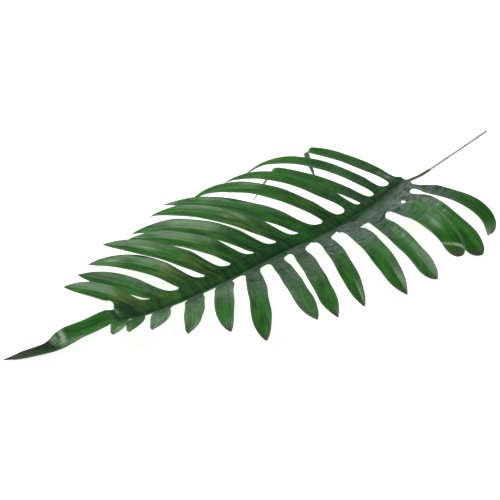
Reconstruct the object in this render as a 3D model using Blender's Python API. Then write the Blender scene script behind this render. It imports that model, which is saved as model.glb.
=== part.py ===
"""Feather palm leaf, cut and laid flat: a comb-shaped blade on its midrib, and a thin stalk.

The leaf lies on the surface under it with its tip towards -X and its stalk towards +X.
"Far" lobes grow towards +Y and "near" lobes towards -Y. Sizes are in millimetres and
degrees until the last step, which builds in metres.
"""
import math
from dataclasses import dataclass

import bmesh
import bpy
import numpy as np
from mathutils import Vector

MM = 0.001
UP = np.array((0.0, 0.0, 1.0))

# ---- driving dimensions ------------------------------------------------------------
BLADE_THICKNESS = 0.7
GAP = 0.3                      # clearance between the midrib's collar and the stalk
STALK_DIAMETER = 2.2
COLLAR_DIAMETER = 4.0          # green end of the midrib, where the stalk begins
COLLAR_LENGTH = 58.0           # from the first lobes to the stalk
MIDRIB_BASE_DIAMETER = 4.4
MIDRIB_TIP_DIAMETER = 1.6
MIDRIB_SINK = 0.5              # how far the midrib is let into the underside of the blade
BASE_OVERHANG = 13.0           # web on the leaf's base side of the first lobes
TAPER_POWER = 2.2              # 1 tapers straight, more gives a fuller tip
WAIST = 0.88                   # width near the notch, as a share of the full width
LOBE_CAMBER = 0.09             # depth of a lobe's crease, as a share of its width
CREASE_POWER = 1.5             # 1 is a V across the lobe, 2 a round trough
WAIST_FROM = 0.08              # shares of a lobe's length: where it starts to widen
WAIST_RUN = 0.3                # and over how much
ROLL_SHARE = 0.33              # share of its length over which a lobe takes up its roll
FOLD_SHARE = 0.05              # share of its length that a sharp fold takes
BULGE_POWER = 1.8              # puts the fullest place of a lobe at about 0.7 of its length
NOTCH_FADE = 1.3               # lobe widths past the web until the notch no longer shapes it
NOTCH_LEAST = 2.0              # least radius at the bottom of a notch
LAST_NOTCH = 0.6               # place of the last far notch, in steps between the last lobes

# Midline of the leaf from its base to where the end lobe starts, and on to the tip.
# It sags from the raised base to the surface, and bows a little in plan.
MIDRIB_ROUTE = (
    (225.0, -49.0, 35.5),
    (160.0, -61.5, 31.5),
    (85.0, -67.5, 26.5),
    (5.0, -59.0, 19.5),
    (-75.0, -55.0, 13.0),
    (-150.0, -48.5, 8.5),
    (-208.0, -35.0, 3.4),
    (-238.0, -22.0, 1.6),
)
END_LOBE_ROUTE = (
    (-238.0, -22.0, 1.6),
    (-252.0, -15.5, 1.2),
    (-276.0, -14.5, 1.2),
    (-301.0, -16.5, 4.2),
    (-319.0, -20.0, 5.4),
    (-337.0, -17.0, 1.4),
    (-365.0, -9.0, 1.0),
    (-393.0, 0.5, 1.0),
)
STALK_ROUTE = (
    (225.0, -49.0, 35.5),
    (262.0, -53.0, 37.0),
    (300.0, -50.0, 39.5),
    (360.0, -41.0, 41.0),
    (428.0, -29.5, 42.0),
)

# Each half of the end lobe: half-width along its length, as (share of length, mm)
END_LOBE_FAR_EDGE = (
    (0.0, 21.0), (0.1, 18.0), (0.2, 17.5), (0.4, 18.0), (0.56, 16.0), (0.66, 11.0), (0.85, 8.0), (1.0, 0.0),
)
END_LOBE_NEAR_EDGE = (
    (0.0, 11.0), (0.2, 13.0), (0.4, 17.0), (0.56, 17.0), (0.66, 13.0), (0.85, 9.5), (1.0, 0.0),
)
END_LOBE_RISE = 16.0           # each half stands up from the crease by this angle
END_LOBE_SKEW = 0.45           # how far its edges run ahead of its midline where it starts
END_LOBE_SKEW_SHARE = 0.25     # share of its length where they stop doing so

# ---- mesh density ------------------------------------------------------------------
LOBE_COLUMNS = 4               # across one lobe
WEB_ROWS = 2                   # from the midrib to the bottom of a notch
NOTCH_ROWS = 3                 # around the rounded bottom of a notch
LOBE_ROWS = 9                  # from the notch to the lobe's tip
END_LOBE_ROWS = 12
ROD_SIDES = 10
MIDRIB_RINGS = 36
COLLAR_RINGS = 4
STALK_RINGS = 12
NOTCH_SPACING = 1.6            # above 1, rows lie closer at the bottom of a notch
TIP_SPACING = 1.25             # above 1, rows lie closer at a lobe's tip
CHORD = 8.0                    # length over which a route's direction is read, mm


@dataclass(frozen=True)
class Lobe:
    """What is one side lobe's own, in mm and degrees."""

    at: float           # root's distance from the leaf's base, along the midrib
    length: float
    heading: float      # angle to the midrib's way towards the tip
    arch: float         # how far it bends down by its end
    late: float = 1.0   # 1 bends evenly, 3 bends mostly near its end
    roll: float = 0.0   # lifts the edge that faces the leaf's base
    bulge: float = 0.0  # fullness past its middle, mm towards the leaf's tip
    fold: float = 0.0   # sharp fold downwards
    fold_at: float = 0.8   # where it folds, as a share of its length


@dataclass(frozen=True)
class Half:
    """One half of the blade. Each profile gives (share of the midrib from its base, value)."""

    side: int           # 1 is the far half, -1 the near half
    width: tuple        # of a lobe, mm
    rise: tuple         # slope at which a lobe leaves the midrib, degrees
    sweep: tuple        # how far a lobe turns towards the leaf's tip, degrees
    web: tuple          # from the midrib to the notches, mm
    taper: tuple        # share of a lobe's length where its taper begins
    point: tuple        # 1 gives pointed tips, 0.5 round ones
    lean: tuple         # how much later the taper begins on the edge facing the leaf's tip
    shift: tuple        # how far the notches lie towards the leaf's base, mm
    lobes: tuple        # from the base to the tip of the leaf


FAR_HALF = Half(
    side=1,
    width=((0.0, 20.0), (0.25, 22.0), (0.36, 28.0), (0.45, 28.0), (0.8, 30.0), (0.86, 29.0),
           (0.92, 24.0), (1.0, 20.0)),
    rise=((0.0, 13.0), (0.07, 17.0), (0.14, 17.0), (0.2, 20.0), (0.28, 22.0), (0.36, 17.0),
          (0.44, 17.0), (0.51, 28.0), (0.59, 23.0), (0.68, 21.0), (0.76, 21.0), (0.85, 6.0),
          (0.92, 20.0), (1.0, 24.0)),
    sweep=((0.0, 5.0), (0.3, 13.0), (0.6, 11.0), (0.8, 24.0), (1.0, 12.0)),
    web=((0.0, 7.0), (0.2, 12.0), (0.4, 20.0), (0.8, 22.0), (0.9, 22.0), (0.95, 52.0), (1.0, 52.0)),
    taper=((0.0, 0.52), (0.4, 0.6), (1.0, 0.6)),
    point=((0.0, 1.0), (1.0, 1.0)),
    lean=((0.0, 0.0), (1.0, 0.0)),
    shift=((0.0, 4.0), (0.3, 2.0), (0.4, 9.0), (1.0, 9.0)),
    lobes=(
        Lobe(at=0, length=182, heading=88, arch=26, late=1.5, fold=100, fold_at=0.745),
        Lobe(at=35, length=222, heading=84, arch=66, late=2),
        Lobe(at=65, length=198, heading=75, arch=24, late=1.5, fold=56, fold_at=0.68),
        Lobe(at=92, length=200, heading=78, arch=50, late=2),
        Lobe(at=130, length=230, heading=71, arch=65, late=2),
        Lobe(at=172, length=227, heading=68, arch=28),
        Lobe(at=205, length=214, heading=66, arch=40, late=2),
        Lobe(at=242, length=205, heading=65, arch=48),
        Lobe(at=277, length=177, heading=69, arch=36),
        Lobe(at=319, length=173, heading=70, arch=24),
        Lobe(at=359, length=165, heading=74, arch=35),
        Lobe(at=398, length=133, heading=67, arch=-3, roll=4),
        Lobe(at=431, length=122, heading=61, arch=18, roll=4),
    ),
)
NEAR_HALF = Half(
    side=-1,
    width=((0.0, 25.0), (0.07, 26.0), (0.14, 27.0), (0.21, 22.0), (0.28, 25.0), (0.36, 22.0), (0.5, 23.0),
           (0.8, 25.0), (1.0, 20.0)),
    rise=((0.0, 5.0), (0.07, 24.0), (0.3, 21.0), (0.42, 12.0), (0.58, 11.0), (0.68, 28.0), (1.0, 25.0)),
    sweep=((0.0, 10.0), (0.4, 8.0), (0.8, 10.0), (1.0, 3.0)),
    web=((0.0, 18.0), (0.07, 40.0), (0.13, 52.0), (0.2, 54.0), (0.25, 47.0), (0.31, 20.0),
         (0.36, 13.0), (0.5, 14.0), (0.6, 10.0), (1.0, 10.0)),
    taper=((0.0, 0.85), (0.07, 0.86), (0.2, 0.82), (0.3, 0.76), (0.7, 0.74), (0.8, 0.66), (1.0, 0.55)),
    point=((0.0, 0.5), (0.21, 0.55), (0.28, 0.9), (0.5, 0.8), (0.85, 0.7), (0.93, 0.5), (1.0, 0.5)),
    lean=((0.0, -0.05), (0.7, -0.05), (0.8, 0.15), (1.0, 0.15)),
    shift=((0.0, 1.0), (0.07, 5.0), (0.2, 2.0), (0.28, 6.0), (0.36, 5.0), (1.0, 9.0)),
    lobes=(
        Lobe(at=2, length=167, heading=90, arch=116, late=5, bulge=2),
        Lobe(at=36, length=180, heading=79, arch=60, roll=26, bulge=2),
        Lobe(at=69, length=194, heading=76.5, arch=85, late=3, roll=28, bulge=2),
        Lobe(at=98, length=194, heading=70, arch=40, roll=18, bulge=2),
        Lobe(at=133, length=222, heading=67, arch=42, late=2, roll=6, bulge=3),
        Lobe(at=171, length=188, heading=71, arch=42, late=2, roll=-6, bulge=3),
        Lobe(at=210, length=200, heading=70, arch=18, late=2, roll=-4, bulge=3),
        Lobe(at=244, length=208, heading=67, arch=2, late=2, roll=-4, bulge=3),
        Lobe(at=281, length=186, heading=58, arch=20, late=2, roll=-6, bulge=2),
        Lobe(at=323, length=168, heading=57, arch=50, late=3, bulge=2),
        Lobe(at=368, length=150, heading=57, arch=14, bulge=-3),
        Lobe(at=414, length=130, heading=63, arch=4, late=2, roll=-6, bulge=-3),
        Lobe(at=446, length=102, heading=68, arch=6, late=2, bulge=-2),
        Lobe(at=466, length=84, heading=71, arch=12, late=2, bulge=-2),
    ),
)
# The far half's last group of columns, beside the end lobe, is bare web without a lobe.

BLADE_GREEN = (0.045, 0.135, 0.040, 1.0)
STALK_GREY = (0.22, 0.22, 0.21, 1.0)
BLADE_ROUGHNESS = 0.35
STALK_ROUGHNESS = 0.45


# ---- curves ------------------------------------------------------------------------
class Route:
    """A smooth curve through hand-set points, read by distance along it."""

    def __init__(self, points, steps=40):
        ends = [2 * np.array(points[0]) - points[1], 2 * np.array(points[-1]) - points[-2]]
        knots = np.array([ends[0], *points, ends[1]], dtype=float)
        dense = [knots[1]]
        for p0, p1, p2, p3 in zip(knots, knots[1:], knots[2:], knots[3:]):
            for t in np.linspace(0, 1, steps + 1)[1:]:
                linear = 2 * p1 + (p2 - p0) * t
                square = (2 * p0 - 5 * p1 + 4 * p2 - p3) * t**2
                cube = (3 * p1 - p0 - 3 * p2 + p3) * t**3
                dense.append((linear + square + cube) / 2)
        self.points = np.array(dense)
        run = np.linalg.norm(np.diff(self.points, axis=0), axis=1)
        self.stations = np.concatenate([[0.0], np.cumsum(run)])
        self.length = self.stations[-1]

    def at(self, station):
        """Point at a distance from the start; it goes on straight past the ends."""
        inside = min(max(station, 0.0), self.length)
        point = np.array([np.interp(inside, self.stations, self.points[:, k]) for k in range(3)])
        return point + (station - inside) * self.tangent(inside)

    def tangent(self, station):
        """Unit direction of travel."""
        low = min(max(station - CHORD / 2, 0.0), self.length - CHORD)
        ends = [[np.interp(s, self.stations, self.points[:, k]) for k in range(3)]
                for s in (low, low + CHORD)]
        return unit(np.subtract(ends[1], ends[0]))


def unit(vector):
    """Vector of length 1."""
    return np.asarray(vector, dtype=float) / np.linalg.norm(vector)


def mix(a, b, share):
    """Value part of the way from a to b."""
    return a * (1 - share) + b * share


def smooth(x):
    """Ease from 0 to 1."""
    x = min(max(x, 0.0), 1.0)
    return x * x * (3 - 2 * x)


def along(profile, x):
    """Value of a profile given as (position, value) pairs."""
    return float(np.interp(x, [p for p, _ in profile], [v for _, v in profile]))


# ---- lobes -------------------------------------------------------------------------
class Ribbon:
    """Centre line of a lobe with its across and upward directions."""

    STEPS = 48

    def __init__(self, midrib, half, lobe):
        place = lobe.at / midrib.length
        self.lobe = lobe
        self.width = along(half.width, place)
        self.web = along(half.web, place)
        self.taper_from = along(half.taper, place)
        self.lean = along(half.lean, place)
        self.point = along(half.point, place)
        forward = midrib.tangent(lobe.at)
        level = half.side * unit(np.cross(forward, UP))
        heading, rise = math.radians(lobe.heading), math.radians(along(half.rise, place))
        outward = level * math.cos(rise) + UP * math.sin(rise)
        ahead = forward * math.cos(heading) + outward * math.sin(heading)
        across = -forward * math.sin(heading) + outward * math.cos(heading)
        up = np.cross(ahead, across)
        up = up * (1 if up[2] > 0 else -1)
        self.frames = [(midrib.at(lobe.at), ahead, across, up)]
        step = lobe.length / self.STEPS
        bent = turned = 0.0
        for k in range(self.STEPS):
            share = (k + 0.5) / self.STEPS
            folded = lobe.fold * smooth((share - lobe.fold_at) / FOLD_SHARE)
            bend = math.radians(lobe.arch * share**lobe.late + folded)
            turn = math.radians(along(half.sweep, place)) * share
            ahead, up = spin(ahead, -up, bend - bent), spin(up, ahead, bend - bent)
            ahead, across = spin(ahead, -across, turn - turned), spin(across, ahead, turn - turned)
            bent, turned = bend, turn
            self.frames.append((self.frames[-1][0] + ahead * step, ahead, across, up))

    def frame(self, distance):
        """Centre, ahead, across and up at a distance from the midrib, with the roll applied."""
        place = min(max(distance / self.lobe.length, 0.0), 1.0) * self.STEPS
        low = min(int(place), self.STEPS - 1)
        part = place - low
        centre, ahead, across, up = (
            a * (1 - part) + b * part for a, b in zip(self.frames[low], self.frames[low + 1])
        )
        roll = math.radians(self.lobe.roll) * smooth(place / self.STEPS / ROLL_SHARE)
        return centre, unit(ahead), spin(unit(across), unit(up), roll), spin(unit(up), -unit(across), roll)

    def half_width(self, distance, edge=0):
        """Half of the lobe's width: a little waist, a full middle and a sharp tip.

        edge is -1 on the side that faces the leaf's tip, 1 on the other, 0 for their mean.
        """
        share = distance / self.lobe.length
        taper_from = self.taper_from + edge * self.lean
        taper = 1 - max(0.0, (share - taper_from) / (1 - taper_from)) ** TAPER_POWER
        waist = WAIST + (1 - WAIST) * smooth((share - WAIST_FROM) / WAIST_RUN)
        return self.width / 2 * waist * max(taper, 0.0) ** self.point


def spin(a, b, angle):
    """Turn unit vector a towards the perpendicular unit vector b."""
    return a * math.cos(angle) + b * math.sin(angle)


def crease(v):
    """Height of a lobe's surface across it, 0 at the mid vein and 1 at the edges."""
    return abs(v) ** CREASE_POWER


def lobe_rows(ribbon, corners):
    """Points of a lobe past the web, row by row, from its notch corners to its tip.

    corners holds the two notch points, on the tip side and on the base side of the lobe.
    """
    web = ribbon.web
    centre, ahead, across, up = ribbon.frame(web)
    offsets = [np.array([(c - centre) @ axis for axis in (ahead, across, up)]) for c in corners]
    reach = ribbon.width * NOTCH_FADE
    spread = max(NOTCH_LEAST, max(abs(o[1]) for o in offsets) - ribbon.half_width(web))
    distances = [web + spread * x for x in np.linspace(0, 1, NOTCH_ROWS + 1)[1:] ** NOTCH_SPACING]
    span = ribbon.lobe.length - distances[-1]
    to_tip = 1 - (1 - np.linspace(0, 1, LOBE_ROWS + 1)[1:]) ** TIP_SPACING
    distances += [distances[-1] + span * x for x in to_tip]
    rows = []
    for distance in distances[:-1]:
        centre, ahead, across, up = ribbon.frame(distance)
        fade = 1 - smooth((distance - web) / reach)
        open_share = min((distance - web) / spread, 1.0)
        opened = math.sqrt(1 - (1 - open_share) ** 2)
        bulge = ribbon.lobe.bulge * math.sin(math.pi * (distance / ribbon.lobe.length) ** BULGE_POWER)
        row = []
        for v in np.linspace(-1, 1, LOBE_COLUMNS + 1):
            half = ribbon.half_width(distance, np.sign(v))
            offset = offsets[0 if v < 0 else 1] * abs(v)
            sideways = offset[1] * (1 - opened) + (v * half - bulge) * opened
            lift = LOBE_CAMBER * 2 * half * crease(v) * (1 - fade)
            point = centre + ahead * offset[0] * fade + across * sideways + up * (offset[2] * fade + lift)
            row.append(point)
        rows.append(row)
    tip = ribbon.frame(ribbon.lobe.length)[0]
    return rows, tip


# ---- blade -------------------------------------------------------------------------
def column_boundaries(lobes, last):
    """Stations that part the lobes' roots, from the base to the end lobe."""
    roots = [lobe.at for lobe in lobes]
    return [-BASE_OVERHANG] + [(a + b) / 2 for a, b in zip(roots, roots[1:])] + [last]


def half_blade(mesh, midrib, half, spine, bare_last):
    """One half of the blade; spine holds its shared vertices along the midrib.

    Returns the vertices from the midrib to the last notch, where the end lobe joins on.
    """
    side = half.side
    ribbons = [Ribbon(midrib, half, lobe) for lobe in half.lobes]
    reach = [ribbon.frame(ribbon.web)[0] for ribbon in ribbons]
    notches = [reach[0] + (reach[0] - reach[1]) / 2]
    for a, b, lobe in zip(reach, reach[1:], half.lobes[1:]):
        shift = along(half.shift, lobe.at / midrib.length)
        notches.append((a + b) / 2 - midrib.tangent(lobe.at) * shift)
    if bare_last:
        notches.append(reach[-1] + (reach[-1] - reach[-2]) * LAST_NOTCH)
        forward = midrib.tangent(midrib.length)
        level = side * unit(np.cross(forward, UP))
        rise = math.radians(END_LOBE_RISE)
        outward = level * math.cos(rise) + UP * math.sin(rise)
        web = END_LOBE_FAR_EDGE[0][1]
        end_notch = midrib.at(midrib.length) + outward * web
        notches.append(end_notch)
        reach.append((notches[-2] + end_notch) / 2)
    else:
        notches.append(reach[-1] + (reach[-1] - reach[-2]) / 2)

    outer = []
    for k in range(len(reach)):
        for c in range(LOBE_COLUMNS):
            v = -1 + 2 * c / LOBE_COLUMNS
            notch = notches[k] if v < 0 else notches[k + 1]
            outer.append(reach[k] + (notch - reach[k]) * abs(v))
    outer.append(notches[-1])

    grid = [spine]
    for row in range(1, WEB_ROWS + 1):
        share = row / WEB_ROWS
        line = [mesh.verts.new(np.array(s.co) * (1 - share) + o * share) for s, o in zip(spine, outer)]
        grid.append(line)
    for low, high in zip(grid, grid[1:]):
        for a, b, c, d in zip(low, low[1:], high[1:], high):
            face(mesh, (a, b, c, d), side)

    for k, ribbon in enumerate(ribbons):
        start = k * LOBE_COLUMNS
        edge = grid[-1][start:start + LOBE_COLUMNS + 1]
        rows, tip = lobe_rows(ribbon, (notches[k + 1], notches[k]))
        previous = edge
        for points in rows:
            line = [mesh.verts.new(p) for p in reversed(points)]
            for a, b, c, d in zip(previous, previous[1:], line[1:], line):
                face(mesh, (a, b, c, d), side)
            previous = line
        tip_vertex = mesh.verts.new(tip)
        for a, b in zip(previous, previous[1:]):
            face(mesh, (a, b, tip_vertex), side)
    return [line[-1] for line in grid]


def face(mesh, corners, side):
    """Add a face that looks up on either half of the blade."""
    mesh.faces.new(corners if side < 0 else tuple(reversed(corners)))


def end_lobe(mesh, far_edge, near_edge):
    """The long end lobe, which carries on from both halves' last web columns."""
    route = Route(END_LOBE_ROUTE)
    previous = list(reversed(far_edge)) + near_edge[1:]
    count = len(previous)
    for row in range(1, END_LOBE_ROWS):
        share = row / END_LOBE_ROWS
        centre = route.at(share * route.length)
        forward = route.tangent(share * route.length)
        level = unit(np.cross(forward, UP))
        skew = 1 - smooth(share / END_LOBE_SKEW_SHARE)
        line = []
        for k in range(count):
            v = 1 - 2 * k / (count - 1)
            edge, way = (END_LOBE_FAR_EDGE, 1) if v > 0 else (END_LOBE_NEAR_EDGE, -1)
            half = along(edge, share) * abs(v)
            rise = math.radians(END_LOBE_RISE)
            outward = level * way * math.cos(rise) + UP * math.sin(rise)
            line.append(mesh.verts.new(centre + outward * half + forward * half * END_LOBE_SKEW * skew))
        for a, b, c, d in zip(previous, previous[1:], line[1:], line):
            mesh.faces.new((d, c, b, a))
        previous = line
    tip = mesh.verts.new(route.at(route.length))
    for a, b in zip(previous, previous[1:]):
        mesh.faces.new((tip, b, a))


def blade_sheet():
    """The whole blade as one open sheet, in mm."""
    midrib = Route(MIDRIB_ROUTE)
    mesh = bmesh.new()
    near = column_boundaries(NEAR_HALF.lobes, midrib.length)
    far = column_boundaries(FAR_HALF.lobes, (FAR_HALF.lobes[-1].at + midrib.length) / 2) + [midrib.length]
    stations = [(a + b) / 2 for a, b in zip(near, far)]
    spine = []
    for low, high in zip(stations, stations[1:]):
        shares = [c / LOBE_COLUMNS for c in range(LOBE_COLUMNS)]
        spine += [mesh.verts.new(midrib.at(mix(low, high, share))) for share in shares]
    spine.append(mesh.verts.new(midrib.at(stations[-1])))
    far_edge = half_blade(mesh, midrib, FAR_HALF, spine, bare_last=True)
    near_edge = half_blade(mesh, midrib, NEAR_HALF, spine, bare_last=False)
    end_lobe(mesh, far_edge, near_edge)
    return mesh


# ---- objects -----------------------------------------------------------------------
def make_object(name, mesh, colour, roughness):
    """Object from a bmesh in mm, with its own material."""
    bmesh.ops.scale(mesh, vec=(MM, MM, MM), verts=mesh.verts)
    data = bpy.data.meshes.new(name)
    mesh.to_mesh(data)
    mesh.free()
    data.shade_smooth()
    material = bpy.data.materials.new(name)
    material.use_nodes = True
    shader = material.node_tree.nodes["Principled BSDF"]
    shader.inputs["Base Color"].default_value = colour
    shader.inputs["Roughness"].default_value = roughness
    shader.inputs["Metallic"].default_value = 0.0
    data.materials.append(material)
    thing = bpy.data.objects.new(name, data)
    bpy.context.scene.collection.objects.link(thing)
    return thing


def rod(centres, radii):
    """Closed round rod through a row of centres, in mm."""
    mesh = bmesh.new()
    rings = []
    for k, (centre, radius) in enumerate(zip(centres, radii)):
        ahead = unit(np.subtract(centres[min(k + 1, len(centres) - 1)], centres[max(k - 1, 0)]))
        level = unit(np.cross(ahead, UP))
        up = np.cross(level, ahead)
        angles = [2 * math.pi * side / ROD_SIDES for side in range(ROD_SIDES)]
        rings.append([mesh.verts.new(centre + radius * spin(level, up, angle)) for angle in angles])
    for low, high in zip(rings, rings[1:]):
        for side in range(ROD_SIDES):
            after = (side + 1) % ROD_SIDES
            mesh.faces.new((low[side], high[side], high[after], low[after]))
    mesh.faces.new(rings[0])
    mesh.faces.new(rings[-1])
    bmesh.ops.recalc_face_normals(mesh, faces=mesh.faces)
    return mesh


def midrib_rod():
    """Midrib under the blade, from its green collar to where the end lobe starts."""
    midrib = Route(MIDRIB_ROUTE)
    stalk = Route(STALK_ROUTE)
    collar = np.linspace(COLLAR_LENGTH, 0, COLLAR_RINGS)
    spots = [(stalk.at(station), COLLAR_DIAMETER / 2) for station in collar]
    for station in np.linspace(0, midrib.length, MIDRIB_RINGS)[1:]:
        share = station / midrib.length
        spots.append((midrib.at(station), mix(MIDRIB_BASE_DIAMETER, MIDRIB_TIP_DIAMETER, share) / 2))
    centres = [centre - UP * (BLADE_THICKNESS / 2 + radius - MIDRIB_SINK) for centre, radius in spots]
    return rod(centres, [radius for _, radius in spots])


def stalk_rod():
    """Thin stalk from the collar's face to its free end."""
    route = Route(STALK_ROUTE)
    drop = UP * (BLADE_THICKNESS / 2 + COLLAR_DIAMETER / 2 - MIDRIB_SINK)
    stations = np.linspace(COLLAR_LENGTH + GAP, route.length, STALK_RINGS)
    return rod([route.at(station) - drop for station in stations], [STALK_DIAMETER / 2] * STALK_RINGS)


def build_leaf():
    """The blade, thickened and joined to its midrib: it grew as one piece."""
    leaf = make_object("leaf", blade_sheet(), BLADE_GREEN, BLADE_ROUGHNESS)
    wall = leaf.modifiers.new("thickness", "SOLIDIFY")
    wall.thickness = BLADE_THICKNESS * MM
    wall.offset = 0.0
    guide = make_object("midrib_guide", midrib_rod(), BLADE_GREEN, BLADE_ROUGHNESS)
    guide.hide_render = True
    guide.display_type = "WIRE"
    join = leaf.modifiers.new("midrib", "BOOLEAN")
    join.operation = "UNION"
    join.object = guide
    return leaf, guide


def stand_on_origin(things):
    """Put the bottom centre of everything's box on the origin."""
    bpy.context.view_layer.update()
    depsgraph = bpy.context.evaluated_depsgraph_get()
    corners = []
    for thing in things:
        points = [v.co for v in thing.evaluated_get(depsgraph).data.vertices]
        corners += [np.min(points, axis=0), np.max(points, axis=0)]
    low, high = np.min(corners, axis=0), np.max(corners, axis=0)
    base = bpy.data.objects.new("palm_leaf", None)
    bpy.context.scene.collection.objects.link(base)
    base.location = Vector((-(low[0] + high[0]) / 2, -(low[1] + high[1]) / 2, -low[2]))
    return base


def main():
    """Build the leaf and its stalk."""
    for thing in list(bpy.data.objects):
        bpy.data.objects.remove(thing)
    leaf, guide = build_leaf()
    stalk = make_object("stalk", stalk_rod(), STALK_GREY, STALK_ROUGHNESS)
    base = stand_on_origin((leaf, stalk))
    for thing in (leaf, guide, stalk):
        thing.parent = base


if __name__ == "__main__":
    main()
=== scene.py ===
"""Looks of a feather palm leaf that lies on a pale surface: blade, veins, midrib, collar and stalk.

The blade follows the same rule as its solid: side lobes leave an arching midrib, joined by a web.
Lengths are in millimetres and angles in degrees until a mesh is written, which is in metres.
"""
from __future__ import annotations

import logging
import math
from dataclasses import dataclass, field
from enum import Enum

import bpy
import numpy as np
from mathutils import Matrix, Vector

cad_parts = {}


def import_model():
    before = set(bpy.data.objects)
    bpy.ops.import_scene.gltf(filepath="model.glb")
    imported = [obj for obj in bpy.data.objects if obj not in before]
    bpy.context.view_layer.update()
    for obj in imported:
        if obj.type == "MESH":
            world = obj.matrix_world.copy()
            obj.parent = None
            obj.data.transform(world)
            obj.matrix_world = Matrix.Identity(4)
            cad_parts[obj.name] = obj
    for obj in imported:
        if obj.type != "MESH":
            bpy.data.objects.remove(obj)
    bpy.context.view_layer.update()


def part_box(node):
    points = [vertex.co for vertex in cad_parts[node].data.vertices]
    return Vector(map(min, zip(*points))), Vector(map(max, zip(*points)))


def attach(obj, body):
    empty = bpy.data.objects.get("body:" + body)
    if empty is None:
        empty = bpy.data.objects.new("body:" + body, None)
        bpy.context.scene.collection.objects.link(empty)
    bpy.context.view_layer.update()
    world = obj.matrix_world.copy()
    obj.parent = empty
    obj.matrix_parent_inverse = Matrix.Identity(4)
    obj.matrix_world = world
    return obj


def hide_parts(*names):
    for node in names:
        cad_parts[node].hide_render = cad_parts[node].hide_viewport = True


MM = 0.001
UP = np.array((0.0, 0.0, 1.0))
SHAPE_SEED = 7                 # fixes every random draw
PATCH_REACH = 0.2              # half the extent of a yellow-brown patch, as a share of its lobe
MAP_STEP = 97.0                # mm between two lobes' places in the pattern, so that no two match
MAP_HALF = 12.0                # mm, a lobe's half-width in the web's part of the pattern
FOLD_STEP = 3.7                # the same as MAP_STEP for the folds, in pitches
FAR_OFF = 9.0                  # mm; marks a point that is far from any rim or vein
MIX_A, MIX_B, MIX_RESULT = 6, 7, 2   # colour sockets of a Mix node

log = logging.getLogger("palm leaf")

Profile = tuple[tuple[float, float], ...]
Point = np.ndarray
Socket = bpy.types.NodeSocket
Input = float | tuple | bpy.types.NodeSocket   # what an input socket takes


# ---- helpers -------------------------------------------------------------------------
def linear(code: str) -> tuple[float, float, float, float]:
    """Turn an sRGB hex colour into linear red, green, blue and alpha.

    Args:
        code: colour as "#rrggbb".

    Returns:
        The colour as Blender's sockets take it.
    """
    parts = [int(code[k:k + 2], 16) / 255 for k in (1, 3, 5)]
    red, green, blue = (c / 12.92 if c <= 0.04045 else ((c + 0.055) / 1.055) ** 2.4 for c in parts)
    return red, green, blue, 1.0


def fill(tree: bpy.types.NodeTree, node: bpy.types.Node, inputs: dict) -> None:
    """Set or link a node's inputs.

    Args:
        tree: node tree that holds the node.
        node: node to fill.
        inputs: a value, or an output socket to link, for each input socket by name or index.
    """
    for key, value in inputs.items():
        if isinstance(value, bpy.types.NodeSocket):
            tree.links.new(value, node.inputs[key])
        else:
            node.inputs[key].default_value = value


def add_node(tree: bpy.types.NodeTree, kind: str, settings: dict | None = None,
             inputs: dict | None = None) -> bpy.types.Node:
    """Add a node with its settings and links.

    Args:
        tree: node tree that takes the node.
        kind: type name of the node.
        settings: properties of the node, by name.
        inputs: as in fill.

    Returns:
        The new node.
    """
    node = tree.nodes.new(kind)
    for name, value in (settings or {}).items():
        setattr(node, name, value)
    fill(tree, node, inputs or {})
    return node


def calc(tree: bpy.types.NodeTree, operation: str, *values: Input, clamp: bool = False) -> Socket:
    """Result of a Math node.

    Args:
        tree: node tree that takes the node.
        operation: what it does, such as "MULTIPLY".
        *values: numbers or sockets, in order.
        clamp: hold the result between 0 and 1.

    Returns:
        Socket with the result.
    """
    settings = {"operation": operation, "use_clamp": clamp}
    return add_node(tree, "ShaderNodeMath", settings, dict(enumerate(values))).outputs[0]


def remap(tree: bpy.types.NodeTree, value: Socket, source: tuple[Input, Input],
          target: tuple[Input, Input] = (0.0, 1.0), curve: str = "SMOOTHSTEP") -> Socket:
    """Carry a value from one range to another, and hold it there.

    Args:
        tree: node tree that takes the node.
        value: socket with the value.
        source: range that the value comes from.
        target: range that it goes to.
        curve: how it runs between the ends.

    Returns:
        Socket with the result.
    """
    return add_node(tree, "ShaderNodeMapRange", {"interpolation_type": curve}, {
        "Value": value, "From Min": source[0], "From Max": source[1],
        "To Min": target[0], "To Max": target[1]}).outputs[0]


def tint(tree: bpy.types.NodeTree, share: Socket, under: Input, over: Input) -> Socket:
    """Colour part of the way from one colour to another."""
    node = add_node(tree, "ShaderNodeMix", {"data_type": "RGBA"}, {0: share, MIX_A: under, MIX_B: over})
    return node.outputs[MIX_RESULT]


def noise(tree: bpy.types.NodeTree, place: Socket, sizes: tuple[float, float, float],
          inputs: dict) -> Socket:
    """Value of a noise pattern in a material.

    Args:
        tree: node tree that takes the nodes.
        place: socket with the place, in metres.
        sizes: size of the pattern each way, mm.
        inputs: other inputs of the noise, by name.

    Returns:
        Socket with the value.
    """
    stretched = add_node(tree, "ShaderNodeMapping", None, {
        "Vector": place, "Scale": tuple(1 / (size * MM) for size in sizes)})
    pattern = {"Vector": stretched.outputs[0], "Scale": 1.0} | inputs
    return add_node(tree, "ShaderNodeTexNoise", None, pattern).outputs[0]


def new_material(name: str) -> tuple[bpy.types.Material, bpy.types.NodeTree, bpy.types.Node]:
    """Material of that name, with its node tree and its Principled shader."""
    material = bpy.data.materials.new(name)
    material.use_nodes = True
    return material, material.node_tree, material.node_tree.nodes["Principled BSDF"]


def unit(vector: Point) -> Point:
    """Vector of length 1."""
    return np.asarray(vector, dtype=float) / np.linalg.norm(vector)


def spin(a: Point, b: Point, angle: float) -> Point:
    """Turn unit vector a towards the perpendicular unit vector b, by radians."""
    return a * math.cos(angle) + b * math.sin(angle)


def mix(a: float, b: float, share: float) -> float:
    """Value part of the way from a to b."""
    return a * (1 - share) + b * share


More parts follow.
